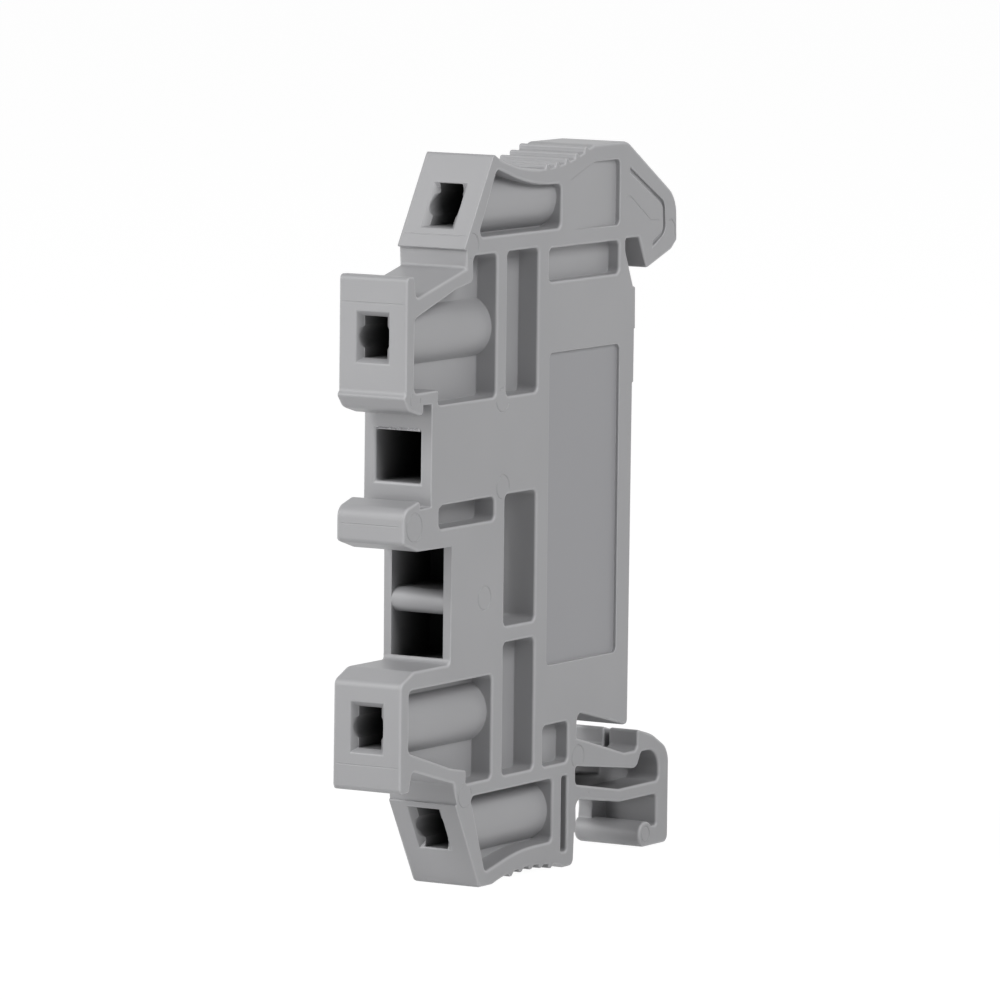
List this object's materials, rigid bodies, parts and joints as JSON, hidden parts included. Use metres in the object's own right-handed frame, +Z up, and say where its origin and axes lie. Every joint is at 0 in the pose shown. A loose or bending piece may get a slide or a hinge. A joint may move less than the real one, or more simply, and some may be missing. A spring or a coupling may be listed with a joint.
{
  "type": "din rail end stop",
  "caption": "Slim grey end stop that clips over a 35 mm rail with a fixed hook and a sprung foot, with marker sockets and windows on its front.",
  "frame": {"origin": "on the seat plane, at the centre line of the rail and in the middle of the thickness", "axes": "+X across the thickness, towards the side with the label recess; +Y towards the rail; +Z up, from the sprung foot to the hook"},
  "size_m": [0.0052, 0.035, 0.0485],
  "materials": {
    "moulded_polyamide": "fine moulded satin"
  },
  "bodies": {
    "root": {"end_stop_body": "moulded_polyamide"}
  },
  "joints": []
}
